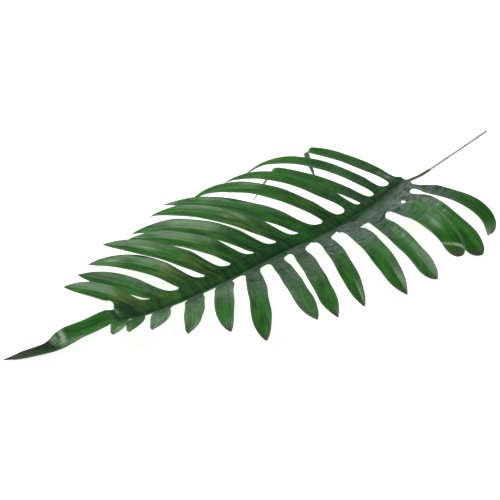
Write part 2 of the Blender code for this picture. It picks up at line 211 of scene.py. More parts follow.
def smooth(x: float) -> float:
    """Ease from 0 to 1."""
    x = min(max(x, 0.0), 1.0)
    return x * x * (3 - 2 * x)


def along(profile: Profile, x: float) -> float:
    """Value of a profile given as (position, value) pairs."""
    return float(np.interp(x, [p for p, _ in profile], [v for _, v in profile]))


def new_object(name: str, data: bpy.types.ID) -> bpy.types.Object:
    """Object of that name in the scene."""
    thing = bpy.data.objects.new(name, data)
    bpy.context.scene.collection.objects.link(thing)
    return thing


def rest_on_root(piece: bpy.types.Object, node: str) -> None:
    """Tie a finished piece to the frame.

    Args:
        piece: finished piece, in place.
        node: solid that the piece stands for.
    """
    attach(piece, "root")
    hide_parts(node)
    log.info("%s: %d faces, for %s", piece.name, len(piece.data.polygons), node)


class Route:
    """A smooth curve through the given points, read by distance along it."""

    STEPS = 40
    CHORD = 8.0              # mm

    def __init__(self, points: tuple[tuple[float, float, float], ...]) -> None:
        """Lay the curve through the points, in mm."""
        ends = [2 * np.array(points[0]) - points[1], 2 * np.array(points[-1]) - points[-2]]
        knots = np.array([ends[0], *points, ends[1]], dtype=float)
        dense = [knots[1]]
        for p0, p1, p2, p3 in zip(knots, knots[1:], knots[2:], knots[3:]):
            for t in np.linspace(0, 1, self.STEPS + 1)[1:]:
                first = 2 * p1 + (p2 - p0) * t
                square = (2 * p0 - 5 * p1 + 4 * p2 - p3) * t**2
                cube = (3 * p1 - p0 - 3 * p2 + p3) * t**3
                dense.append((first + square + cube) / 2)
        self.points = np.array(dense)
        run = np.linalg.norm(np.diff(self.points, axis=0), axis=1)
        self.stations = np.concatenate([[0.0], np.cumsum(run)])
        self.length = float(self.stations[-1])

    def at(self, station: float) -> Point:
        """Point at a distance from the start; it goes on straight past the ends."""
        inside = min(max(station, 0.0), self.length)
        point = np.array([np.interp(inside, self.stations, self.points[:, k]) for k in range(3)])
        return point + (station - inside) * self.tangent(inside)

    def tangent(self, station: float) -> Point:
        """Unit direction of travel, over a short chord."""
        low = min(max(station - self.CHORD / 2, 0.0), self.length - self.CHORD)
        ends = [[np.interp(s, self.stations, self.points[:, k]) for k in range(3)]
                for s in (low, low + self.CHORD)]
        return unit(np.subtract(ends[1], ends[0]))


# ---- the leaf's plan -----------------------------------------------------------------
class Side(Enum):
    """Half of the blade: the far half grows towards +Y, the near half towards -Y."""

    FAR = 1
    NEAR = -1


@dataclass(frozen=True)
class PaintedHighlight:
    """A painted highlight on a lobe: a pale spot painted where a bend catches the light. Its marks fade out
    at its ends.
    """

    strength: float
    at: float             # share of the lobe's length
    across: float = 0.0   # -1 at the edge facing the leaf's tip, 1 at the other
    reach: float = 0.05   # half its extent along the lobe, as a share of the length
    width: float = 0.3    # half its extent across, as a share of the half-width
    slant: float = 0.0    # how far it runs aslant, in shares of the length per half-width

    def weight(self, share: float, v: float) -> float:
        """Strength at a place, given along and across the lobe."""
        ahead = (share - self.at - self.slant * (v - self.across)) / self.reach
        sideways = (v - self.across) / self.width
        return self.strength * math.exp(-ahead**2 - sideways**2)


@dataclass(frozen=True)
class Lobe:
    """What is one side lobe's own, in mm and degrees."""

    at: float             # root's distance from the leaf's base, along the midrib
    length: float
    heading: float        # angle to the midrib's way towards the tip
    arch: float           # how far it bends down by its end
    late: float = 1.0     # 1 bends evenly, 3 bends mostly near its end
    roll: float = 0.0     # lifts the edge that faces the leaf's base
    bulge: float = 0.0    # fullness past its middle, mm towards the leaf's tip
    fold: float = 0.0     # sharp fold downwards
    fold_at: float = 0.8  # where it folds, as a share of its length
    olive: float = 0.0    # strength of its yellow-brown patch
    patch_at: float = 0.3   # where that patch lies, as a share of its length
    # painted highlights: pale spots painted where the lobe's bends catch the light
    scuffs: tuple[PaintedHighlight, ...] = ()


@dataclass(frozen=True)
class Half:
    """One half of the blade. Each profile gives (share of the midrib from its base, value)."""

    side: Side
    width: Profile        # of a lobe, mm
    rise: Profile         # slope at which a lobe leaves the midrib, degrees
    sweep: Profile        # how far a lobe turns towards the leaf's tip, degrees
    web: Profile          # from the midrib to the notches, mm
    taper: Profile        # share of a lobe's length where its taper begins
    point: Profile        # 1 gives pointed tips, 0.5 round ones
    lean: Profile         # how much later the taper begins on the edge facing the leaf's tip
    shift: Profile        # how far the notches lie towards the leaf's base, mm
    gather: Profile       # strength of the crosswise gathers at a lobe's root, and of the painted sheen over them
    lobes: tuple[Lobe, ...]   # from the base to the tip of the leaf


FAR_HALF = Half(
    side=Side.FAR,
    width=((0.0, 20.0), (0.25, 22.0), (0.36, 28.0), (0.45, 28.0), (0.8, 30.0), (0.86, 29.0),
           (0.92, 24.0), (1.0, 20.0)),
    rise=((0.0, 13.0), (0.07, 17.0), (0.14, 17.0), (0.2, 20.0), (0.28, 22.0), (0.36, 17.0),
          (0.44, 17.0), (0.51, 28.0), (0.59, 23.0), (0.68, 21.0), (0.76, 21.0), (0.85, 6.0),
          (0.92, 20.0), (1.0, 24.0)),
    sweep=((0.0, 5.0), (0.3, 13.0), (0.6, 11.0), (0.8, 24.0), (1.0, 12.0)),
    web=((0.0, 7.0), (0.2, 12.0), (0.4, 20.0), (0.8, 22.0), (0.9, 22.0), (0.95, 52.0), (1.0, 52.0)),
    taper=((0.0, 0.52), (0.4, 0.6), (1.0, 0.6)),
    point=((0.0, 1.0), (1.0, 1.0)),
    lean=((0.0, 0.0), (1.0, 0.0)),
    shift=((0.0, 4.0), (0.3, 2.0), (0.4, 9.0), (1.0, 9.0)),
    gather=((0.0, 0.5), (0.3, 0.1), (1.0, 0.1)),
    lobes=(
        Lobe(at=0, length=182, heading=88, arch=26, late=1.5, fold=100, fold_at=0.745,
             scuffs=(PaintedHighlight(0.9, at=0.1, reach=0.03, width=0.4),
                     PaintedHighlight(0.5, at=0.17, reach=0.02, width=0.3))),
        Lobe(at=35, length=222, heading=84, arch=66, late=2),
        Lobe(at=65, length=198, heading=75, arch=24, late=1.5, fold=56, fold_at=0.68),
        Lobe(at=92, length=200, heading=78, arch=50, late=2),
        Lobe(at=130, length=230, heading=71, arch=65, late=2, olive=0.3, patch_at=0.25),
        Lobe(at=172, length=227, heading=68, arch=28),
        Lobe(at=205, length=214, heading=66, arch=40, late=2, olive=0.8, patch_at=0.36,
             scuffs=(PaintedHighlight(0.7, at=0.4, across=0.6, reach=0.05, width=0.15, slant=0.1),
                     PaintedHighlight(0.5, at=0.48, across=0.2, reach=0.03, width=0.12))),
        Lobe(at=242, length=205, heading=65, arch=48, olive=0.5, patch_at=0.55),
        Lobe(at=277, length=177, heading=69, arch=36, olive=0.4, patch_at=0.35),
        Lobe(at=319, length=173, heading=70, arch=24, olive=0.9, patch_at=0.24,
             scuffs=(PaintedHighlight(0.6, at=0.66, across=0.1, reach=0.09, width=0.2),)),
        Lobe(at=359, length=165, heading=74, arch=35, olive=1.0, patch_at=0.3,
             scuffs=(PaintedHighlight(1.0, at=0.8, across=0.35, reach=0.07, width=0.22),)),
        Lobe(at=398, length=133, heading=67, arch=-3, roll=4, olive=0.5, patch_at=0.2),
        Lobe(at=431, length=122, heading=61, arch=18, roll=4, olive=1.4, patch_at=0.32),
    ),
)
NEAR_HALF = Half(
    side=Side.NEAR,
    width=((0.0, 25.0), (0.07, 26.0), (0.14, 27.0), (0.21, 22.0), (0.28, 25.0), (0.36, 22.0), (0.5, 23.0),
           (0.8, 25.0), (1.0, 20.0)),
    rise=((0.0, 5.0), (0.07, 24.0), (0.3, 21.0), (0.42, 12.0), (0.58, 11.0), (0.68, 28.0), (1.0, 25.0)),
    sweep=((0.0, 10.0), (0.4, 8.0), (0.8, 10.0), (1.0, 3.0)),
    web=((0.0, 18.0), (0.07, 40.0), (0.13, 52.0), (0.2, 54.0), (0.25, 47.0), (0.31, 20.0),
         (0.36, 13.0), (0.5, 14.0), (0.6, 10.0), (1.0, 10.0)),
    taper=((0.0, 0.85), (0.07, 0.86), (0.2, 0.82), (0.3, 0.76), (0.7, 0.74), (0.8, 0.66), (1.0, 0.55)),
    point=((0.0, 0.5), (0.21, 0.55), (0.28, 0.9), (0.5, 0.8), (0.85, 0.7), (0.93, 0.5), (1.0, 0.5)),
    lean=((0.0, -0.05), (0.7, -0.05), (0.8, 0.15), (1.0, 0.15)),
    shift=((0.0, 1.0), (0.07, 5.0), (0.2, 2.0), (0.28, 6.0), (0.36, 5.0), (1.0, 9.0)),
    gather=((0.0, 1.5), (0.35, 1.3), (0.6, 0.9), (0.8, 0.6), (1.0, 0.3)),
    lobes=(
        Lobe(at=2, length=167, heading=90, arch=116, late=5, bulge=2),
        Lobe(at=36, length=180, heading=79, arch=60, roll=26, bulge=2),
        Lobe(at=69, length=194, heading=76.5, arch=85, late=3, roll=28, bulge=2,
             scuffs=(PaintedHighlight(2.6, at=0.912, reach=0.006, width=1.2, slant=0.05),)),
        Lobe(at=98, length=194, heading=70, arch=40, roll=18, bulge=2),
        Lobe(at=133, length=222, heading=67, arch=42, late=2, roll=6, bulge=3),
        Lobe(at=171, length=188, heading=71, arch=42, late=2, roll=-6, bulge=3),
        Lobe(at=210, length=200, heading=70, arch=18, late=2, roll=-4, bulge=3),
        Lobe(at=244, length=208, heading=67, arch=2, late=2, roll=-4, bulge=3),
        Lobe(at=281, length=186, heading=58, arch=20, late=2, roll=-6, bulge=2),
        Lobe(at=323, length=168, heading=57, arch=50, late=3, bulge=2),
        Lobe(at=368, length=150, heading=57, arch=14, bulge=-3),
        Lobe(at=414, length=130, heading=63, arch=4, late=2, roll=-6, bulge=-3),
        Lobe(at=446, length=102, heading=68, arch=6, late=2, bulge=-2),
        Lobe(at=466, length=84, heading=71, arch=12, late=2, bulge=-2),
    ),
)

MIDRIB_ROUTE = (
    (225.0, -49.0, 35.5), (160.0, -61.5, 31.5), (85.0, -67.5, 26.5), (5.0, -59.0, 19.5),
    (-75.0, -55.0, 13.0), (-150.0, -48.5, 8.5), (-208.0, -35.0, 3.4), (-238.0, -22.0, 1.6),
)
END_LOBE_ROUTE = (
    (-238.0, -22.0, 1.6), (-252.0, -15.5, 1.2), (-276.0, -14.5, 1.2), (-301.0, -16.5, 4.2),
    (-319.0, -20.0, 5.4), (-337.0, -17.0, 1.4), (-365.0, -9.0, 1.0), (-393.0, 0.5, 1.0),
)
STALK_ROUTE = (
    (225.0, -49.0, 35.5), (262.0, -53.0, 37.0), (300.0, -50.0, 39.5), (360.0, -41.0, 41.0),
    (428.0, -29.5, 42.0),
)


class Ribbon:
    """Centre line of a lobe with its across and upward directions."""

    STEPS = 96
    TAPER_POWER = 2.2        # 1 tapers straight, more gives a fuller tip
    WAIST = 0.88             # width near the notch, as a share of the full width
    WAIST_FROM = 0.08        # share of its length where the waist begins to widen
    WAIST_RUN = 0.3          # share of its length that the widening takes
    ROLL_SHARE = 1 / 3       # share of its length in which the roll sets in
    FOLD_SHARE = 0.05        # share of a lobe's length that a sharp fold takes

    def __init__(self, midrib: Route, half: Half, lobe: Lobe) -> None:
        """Bend the centre line down and towards the leaf's tip, step by step."""
        place = lobe.at / midrib.length
        self.lobe = lobe
        self.width = along(half.width, place)
        self.web = along(half.web, place)
        self.taper_from = along(half.taper, place)
        self.lean = along(half.lean, place)
        self.point = along(half.point, place)
        self.gather = along(half.gather, place)
        forward = midrib.tangent(lobe.at)
        level = half.side.value * unit(np.cross(forward, UP))
        heading, rise = math.radians(lobe.heading), math.radians(along(half.rise, place))
        outward = level * math.cos(rise) + UP * math.sin(rise)
        ahead = forward * math.cos(heading) + outward * math.sin(heading)
        across = -forward * math.sin(heading) + outward * math.cos(heading)
        up = np.cross(ahead, across)
        up = up * (1 if up[2] > 0 else -1)
        self.frames = [(midrib.at(lobe.at), ahead, across, up)]
        step = lobe.length / self.STEPS
        bent = turned = 0.0
        for k in range(self.STEPS):
            share = (k + 0.5) / self.STEPS
            crease = lobe.fold * smooth((share - lobe.fold_at) / self.FOLD_SHARE)
            bend = math.radians(lobe.arch * share**lobe.late + crease)
            turn = math.radians(along(half.sweep, place)) * share
            ahead, up = spin(ahead, -up, bend - bent), spin(up, ahead, bend - bent)
            ahead, across = spin(ahead, -across, turn - turned), spin(across, ahead, turn - turned)
            bent, turned = bend, turn
            self.frames.append((self.frames[-1][0] + ahead * step, ahead, across, up))

    def frame(self, distance: float) -> tuple[Point, Point, Point, Point]:
        """Centre, ahead, across and up at a distance from the midrib, with the roll applied."""
        place = min(max(distance / self.lobe.length, 0.0), 1.0) * self.STEPS
        low = min(int(place), self.STEPS - 1)
        part = place - low
        centre, ahead, across, up = (
            a * (1 - part) + b * part for a, b in zip(self.frames[low], self.frames[low + 1])
        )
        roll = math.radians(self.lobe.roll) * smooth(place / self.STEPS / self.ROLL_SHARE)
        return centre, unit(ahead), spin(unit(across), unit(up), roll), spin(unit(up), -unit(across), roll)

    def half_width(self, distance: float, edge: float = 0.0) -> float:
        """Half of the lobe's width: a little waist, a full middle and a sharp tip.

        Args:
            distance: from the midrib, mm.
            edge: -1 on the side that faces the leaf's tip, 1 on the other, 0 for their mean.

        Returns:
            Half-width in mm.
        """
        share = distance / self.lobe.length
        taper_from = self.taper_from + edge * self.lean
        taper = 1 - max(0.0, (share - taper_from) / (1 - taper_from)) ** self.TAPER_POWER
        waist = self.WAIST + (1 - self.WAIST) * smooth((share - self.WAIST_FROM) / self.WAIST_RUN)
        return self.width / 2 * waist * max(taper, 0.0) ** self.point


def patch(lobe: Lobe, share: float) -> float:
    """Strength of a lobe's yellow-brown patch at a share of its length."""
    return lobe.olive * max(0.0, 1 - ((share - lobe.patch_at) / PATCH_REACH) ** 2)


class Sheet:
    """Open sheet under construction, with what the relief and the finish read at each point."""

    # The gather mark also sets the painted sheen; one mark holds the strength of the painted highlights.
    MARKS = ("off_vein", "reach", "gather", "loose", "lobe", "rim", "olive", "fresh", "tip", "scuff",
             "blend")

    def __init__(self) -> None:
        """Start with nothing."""
        self.points: list[Point] = []
        self.marks: list[tuple[float, ...]] = []
        self.faces: list[tuple[int, ...]] = []
        self.map: list[tuple[float, float]] = []

    def add(self, point: Point, **marks: float) -> int:
        """Add a point with its marks; a mark that isn't named is 0.

        Args:
            point: place in mm.
            **marks: values for the names in MARKS.

        Returns:
            Index of the point.
        """
        self.points.append(np.asarray(point, dtype=float))
        self.marks.append(tuple(marks.get(name, 0.0) for name in self.MARKS))
        return len(self.points) - 1

    def face(self, corners: list[int], places: list[tuple[float, float]], flip: bool) -> None:
        """Add a face with each corner's place in the lobe's own map, in mm.

        Args:
            corners: indices of its points.
            places: across and along the lobe, for each corner.
            flip: turn it over, so that it looks up.
        """
        order = range(len(corners) - 1, -1, -1) if flip else range(len(corners))
        self.faces.append(tuple(corners[k] for k in order))
        self.map += [places[k] for k in order]

    def strip(self, low: list[int], high: list[int], low_map: list[tuple[float, float]],
              high_map: list[tuple[float, float]], flip: bool) -> None:
        """Add one row of faces between two rows of points."""
        for k in range(len(low) - 1):
            corners = [low[k], low[k + 1], high[k + 1], high[k]]
            places = [low_map[k], low_map[k + 1], high_map[k + 1], high_map[k]]
            self.face(corners, places, flip)

    def mesh(self, name: str, shift: Point) -> bpy.types.Mesh:
        """Write the sheet as a mesh in metres.

        Args:
            name: name of the mesh.
            shift: from the drawing's place to the frame's, mm.

        Returns:
            Mesh with the marks as point attributes and the map as its UV map.
        """
        data = bpy.data.meshes.new(name)
        data.from_pydata([tuple((p + shift) * MM) for p in self.points], [], self.faces)
        for column, mark in enumerate(self.MARKS):
            layer = data.attributes.new(mark, "FLOAT", "POINT")
            layer.data.foreach_set("value", [row[column] for row in self.marks])
        layer = data.uv_layers.new(name="lobe_map")
        layer.data.foreach_set("uv", [value * MM for place in self.map for value in place])
        return data


# ---- finishes ------------------------------------------------------------------------
@dataclass(frozen=True)
class WaxySkin:
    """Upper skin of a palm leaf: deep green, streaked along its veins, with painted sheen and painted
    highlights.
    """

    name: str = "waxy palm leaf skin"
    deep: str = "#113413"
    green: str = "#265c22"
    fresh: str = "#3f842e"
    olive: str = "#747a40"
    # colour of the painted sheen on the gathered roots, a pale grey-green
    painted_sheen: str = "#5c7064"
    edge: str = "#66756a"
    # colour of the painted highlights where the blade bends
    scuffed: str = "#b4c4ac"
    dry: str = "#4f5a48"
    roughness: float = 0.3
    ior: float = 1.45
    gloss: float = 0.23           # how much of the specular light it gives back
    coat: float = 0.12
    coat_roughness: float = 0.16
    vein_pitch: float = 1.6       # mm between parallel veins
    streak_length: float = 70.0   # mm
    patch_width: float = 8.0      # mm
    patch_length: float = 40.0    # mm
    band_width: float = 24.0      # mm, of the bands of painted sheen across a gathered root
    band_pitch: float = 7.0       # mm
    band_bump: float = 3.0        # mm, height of the crosswise folds under the painted sheen
    rim_width: float = 2.2        # mm
    rim_strength: float = 0.7
    metre: float = 1000.0         # mm; the map is flat, so its third direction doesn't count
    bump: float = 0.25            # mm

    def build(self) -> bpy.types.Material:
        """Material with streaks, patches, pale rims and dry tips, with painted sheen and painted
        highlights.
        """
        material, tree, shader = new_material(self.name)
        place = add_node(tree, "ShaderNodeUVMap", {"uv_map": "lobe_map"}).outputs[0]
        marks = {name: add_node(tree, "ShaderNodeAttribute", {"attribute_name": name}).outputs["Fac"]
                 for name in ("rim", "olive", "fresh", "tip", "gather", "scuff")}
        streaks = noise(tree, place, (self.vein_pitch, self.streak_length, self.metre),
                        {"Detail": 3.0, "Roughness": 0.6})
        patches = noise(tree, place, (self.patch_width, self.patch_length, self.metre),
                        {"Detail": 4.0, "Roughness": 0.55})
        bands = noise(tree, place, (self.band_width, self.band_pitch, self.metre),
                      {"Detail": 2.0, "Distortion": 0.6})

        tone = calc(tree, "MULTIPLY_ADD", patches, 2.0, marks["fresh"])
        lively = calc(tree, "MULTIPLY_ADD", streaks, 1.1, tone)
        ramp = add_node(tree, "ShaderNodeValToRGB", None, {"Fac": remap(tree, lively, (1.45, 2.9))})
        ramp.color_ramp.elements[0].color = linear(self.deep)
        ramp.color_ramp.elements[1].color = linear(self.fresh)
        ramp.color_ramp.elements.new(0.45).color = linear(self.green)

        # Painted sheen: pale grey-green bands across the gathered roots, where the folds would reflect the
        # bright surroundings.
        sheen_bands = remap(tree, bands, (0.36, 0.6), (0.1, 1.0))
        stain = remap(tree, patches, (0.42, 0.66), (0.0, 0.7), "LINEAR")
        # Painted highlights: pale streaks painted where a bend catches the light.
        highlight_streaks = remap(tree, streaks, (0.3, 0.6), curve="LINEAR")
        colour = ramp.outputs[0]
        # The painted sheen and painted highlights are mixed in with the stains, rims and dry tips.
        for share, over in (
                (calc(tree, "MULTIPLY", sheen_bands, marks["gather"], clamp=True), self.painted_sheen),
                (calc(tree, "MULTIPLY", stain, marks["olive"], clamp=True), self.olive),
                (remap(tree, marks["rim"], (0.0, self.rim_width), (self.rim_strength, 0.0)), self.edge),
                (marks["tip"], self.dry),
                (calc(tree, "MULTIPLY", highlight_streaks, marks["scuff"], clamp=True), self.scuffed)):
            colour = tint(tree, share, colour, linear(over))

        fine = add_node(tree, "ShaderNodeBump", None, {
            "Height": streaks, "Distance": self.bump * MM, "Strength": 0.6})
        folds = add_node(tree, "ShaderNodeBump", None, {
            "Height": calc(tree, "MULTIPLY", bands, marks["gather"]), "Distance": self.band_bump * MM,
            "Strength": 1.0, "Normal": fine.outputs[0]})
        fill(tree, shader, {
            "Base Color": colour, "Normal": folds.outputs[0], "IOR": self.ior,
            "Roughness": remap(tree, patches, (0.3, 0.7), (self.roughness + 0.08, self.roughness - 0.08),
                               "LINEAR"),
            "Specular IOR Level": self.gloss, "Coat Weight": self.coat,
            "Coat Roughness": self.coat_roughness})
        return material


@dataclass(frozen=True)
class FibrousRind:
    """Rind of the veins, the midrib or the leaf's underside: fibres run along it, little wax."""

    name: str
    dark: str
    light: str
    fibre: float               # mm, thickness of a fibre bundle
    roughness: float = 0.5
    ior: float = 1.45
    mottle_size: float = 12.0  # mm
    fibre_length: float = 14.0   # times its thickness
    fibre_height: float = 0.2    # times its thickness

    def build(self) -> bpy.types.Material:
        """Material mottled between two colours, with fine fibres as a bump."""
        material, tree, shader = new_material(self.name)
        place = add_node(tree, "ShaderNodeTexCoord").outputs["Object"]
        mottle = noise(tree, place, (self.mottle_size,) * 3, {"Detail": 4.0, "Roughness": 0.6})
        fibres = noise(tree, place, (self.fibre * self.fibre_length, self.fibre, self.fibre),
                       {"Detail": 3.0})
        share = remap(tree, calc(tree, "ADD", mottle, fibres), (0.7, 1.3), curve="LINEAR")
        bump = add_node(tree, "ShaderNodeBump", None, {
            "Height": fibres, "Distance": self.fibre * self.fibre_height * MM, "Strength": 0.5})
        fill(tree, shader, {
            "Base Color": tint(tree, share, linear(self.dark), linear(self.light)),
            "Roughness": remap(tree, mottle, (0.0, 1.0), (self.roughness - 0.1, self.roughness + 0.1),
                               "LINEAR"),
            "Normal": bump.outputs[0], "IOR": self.ior})
        return material


# The skin's wax reflects its surroundings in soft streaks, with painted sheen added on the gathered roots;
# the underside has less wax and is paler.
SKIN = WaxySkin()
UNDERSIDE = FibrousRind("palm leaf underside", "#3a5a36", "#56764e", fibre=1.2, roughness=0.5)
CUT_EDGE = FibrousRind("dry leaf edge", "#5f7352", "#8c9c78", fibre=0.6, roughness=0.6)
# The midrib is the blade's green with a grey bloom; its fibres catch the light in thin lines.
MIDRIB_RIND = FibrousRind("green midrib rind", "#23402a", "#41603f", fibre=0.8, roughness=0.4)
VEIN_RIND = FibrousRind("lobe vein rind", "#3d5a34", "#6a8058", fibre=0.6, roughness=0.5)
COLLAR_RIND = FibrousRind("collar rind", "#4c5c42", "#77826a", fibre=0.9, roughness=0.45)
STALK_RIND = FibrousRind("dry grey stalk rind", "#b4b5b3", "#dcdcd8", fibre=0.5, roughness=0.45)


# ---- shape trees ---------------------------------------------------------------------
class ShapeTree:
    """Geometry Nodes tree with named inputs, which is run once on an object."""

    def __init__(self, name: str, inputs: dict[str, str]) -> None:
        """Make the tree's sockets.

        Args:
            name: name of the tree.
            inputs: socket type for each named input.
        """
        self.tree = bpy.data.node_groups.new(name, "GeometryNodeTree")
        sockets = self.tree.interface
        sockets.new_socket(name="Geometry", in_out="INPUT", socket_type="NodeSocketGeometry")
        sockets.new_socket(name="Geometry", in_out="OUTPUT", socket_type="NodeSocketGeometry")
        self.keys = {label: sockets.new_socket(name=label, in_out="INPUT", socket_type=kind).identifier
                     for label, kind in inputs.items()}
        self.source = add_node(self.tree, "NodeGroupInput")

    def value(self, label: str) -> bpy.types.NodeSocket:
        """Output socket of a named input."""
        return self.source.outputs[label]

    def close(self, geometry: bpy.types.NodeSocket, finish: str) -> None:
        """End the tree: smooth shading, real geometry and the finish.

        Args:
            geometry: socket that holds the finished shape.
            finish: name of the material input.
        """
        smooth_shade = add_node(self.tree, "GeometryNodeSetShadeSmooth", None, {"Geometry": geometry})
        real = add_node(self.tree, "GeometryNodeRealizeInstances", None, {
            "Geometry": smooth_shade.outputs[0]})
        dressed = add_node(self.tree, "GeometryNodeSetMaterial", None, {
            "Geometry": real.outputs[0], "Material": self.value(finish)})
        add_node(self.tree, "NodeGroupOutput", None, {0: dressed.outputs[0]})

    def run(self, data: bpy.types.Mesh, name: str, values: dict) -> bpy.types.Object:
        """Run the tree on a mesh and keep the result as a plain mesh.

        Args:
            data: mesh that the tree starts from.
            name: name of the finished piece.
            values: value for each named input.

        Returns:
            Object with a plain mesh and no modifier.
        """
        draft = new_object(name + "_draft", data)
        modifier = draft.modifiers.new("shape", "NODES")
        modifier.node_group = self.tree
        for label, value in values.items():
            modifier[self.keys[label]] = value
        depsgraph = bpy.context.evaluated_depsgraph_get()
        result = bpy.data.meshes.new_from_object(
            draft.evaluated_get(depsgraph), preserve_all_data_layers=True, depsgraph=depsgraph)
        bpy.data.objects.remove(draft)
        result.name = name
        return new_object(name, result)


def relief_tree() -> ShapeTree:
    """Tree that gives the blade its vein grooves, gathered roots and slow waves."""
    lengths = ("Groove depth", "Groove width", "Gather height", "Gather pitch", "Wave height",
               "Wave length", "Calm rim", "Lowest", "Seed")
    shape = ShapeTree("blade relief", dict.fromkeys(lengths, "NodeSocketFloat") | {
        "Blend steps": "NodeSocketInt", "Skin": "NodeSocketMaterial"})
    tree, value = shape.tree, shape.value
    marks = {name: add_node(tree, "GeometryNodeInputNamedAttribute", {"data_type": "FLOAT"}, {
        "Name": name}).outputs["Attribute"]
        for name in ("off_vein", "reach", "gather", "loose", "lobe", "rim", "blend")}

    # Grooves over the veins, then folds across the roots that calm down towards the rims.
    sunk = calc(tree, "MULTIPLY", value("Groove depth"), -1.0)
    groove = remap(tree, marks["off_vein"], (0.0, value("Groove width")), (sunk, 0.0), "SMOOTHERSTEP")
    column_width = calc(tree, "MULTIPLY", value("Gather pitch"), 3.0)
    where = add_node(tree, "ShaderNodeCombineXYZ", None, {
        "X": calc(tree, "DIVIDE", marks["off_vein"], column_width),
        "Y": calc(tree, "DIVIDE", marks["reach"], value("Gather pitch")), "Z": marks["lobe"]})
    folds = add_node(tree, "ShaderNodeTexNoise", {"noise_dimensions": "4D"}, {
        "Vector": where.outputs[0], "W": value("Seed"), "Scale": 1.0, "Detail": 2.0})
    held = calc(tree, "MULTIPLY", calc(tree, "SUBTRACT", folds.outputs[0], 0.5), marks["gather"])
    calm = remap(tree, marks["rim"], (0.0, value("Calm rim")), (0.15, 1.0))
    gathers = calc(tree, "MULTIPLY_ADD", calc(tree, "MULTIPLY", held, calm), value("Gather height"), groove)

    # Slow waves where the sheet is loose.
    position = add_node(tree, "GeometryNodeInputPosition").outputs[0]
    slow = add_node(tree, "ShaderNodeTexNoise", {"noise_dimensions": "4D"}, {
        "Vector": position, "W": value("Seed"), "Scale": calc(tree, "DIVIDE", 1.0, value("Wave length")),
        "Detail": 1.0})
    free = calc(tree, "MULTIPLY", calc(tree, "SUBTRACT", slow.outputs[0], 0.5), marks["loose"])
    height = calc(tree, "MULTIPLY_ADD", free, value("Wave height"), gathers)

    # Ease the web's edge into the lobes, raise the relief, and keep it all above the surface.
    eased = add_node(tree, "GeometryNodeBlurAttribute", {"data_type": "FLOAT_VECTOR"}, {
        "Value": position, "Iterations": value("Blend steps"), "Weight": marks["blend"]})
    joined = add_node(tree, "GeometryNodeSetPosition", None, {
        "Geometry": value("Geometry"), "Position": eased.outputs[0]})
    normal = add_node(tree, "GeometryNodeInputNormal")
    offset = add_node(tree, "ShaderNodeVectorMath", {"operation": "SCALE"}, {
        "Vector": normal.outputs[0], "Scale": height})
    moved = add_node(tree, "GeometryNodeSetPosition", None, {
        "Geometry": joined.outputs[0], "Offset": offset.outputs[0]})
    parts = add_node(tree, "ShaderNodeSeparateXYZ", None, {0: position}).outputs
    lifted = add_node(tree, "ShaderNodeCombineXYZ", None, {
        0: parts[0], 1: parts[1], 2: calc(tree, "MAXIMUM", parts[2], value("Lowest"))})
    rested = add_node(tree, "GeometryNodeSetPosition", None, {
        "Geometry": moved.outputs[0], "Position": lifted.outputs[0]})
    shape.close(rested.outputs[0], "Skin")
    return shape


def rib_tree() -> ShapeTree:
    """Tree that sweeps a round rib along each line, as thick as the line's rib_radius says."""
    shape = ShapeTree("rib along a line", {"Sides": "NodeSocketInt", "Rind": "NodeSocketMaterial"})
    tree = shape.tree
    lines = add_node(tree, "GeometryNodeMeshToCurve", None, {"Mesh": shape.value("Geometry")})
    radius = add_node(tree, "GeometryNodeInputNamedAttribute", {"data_type": "FLOAT"}, {
        "Name": "rib_radius"}).outputs["Attribute"]
    sized = add_node(tree, "GeometryNodeSetCurveRadius", None, {
        "Curve": lines.outputs[0], "Radius": radius})
    ring = add_node(tree, "GeometryNodeCurvePrimitiveCircle", {"mode": "RADIUS"}, {
        "Resolution": shape.value("Sides"), "Radius": 1.0})
    rib = add_node(tree, "GeometryNodeCurveToMesh", None, {
        "Curve": sized.outputs[0], "Profile Curve": ring.outputs[0], "Fill Caps": True})
    if "Scale" in rib.inputs:
        fill(tree, rib, {"Scale": add_node(tree, "GeometryNodeInputRadius").outputs[0]})
    shape.close(rib.outputs[0], "Rind")
    return shape


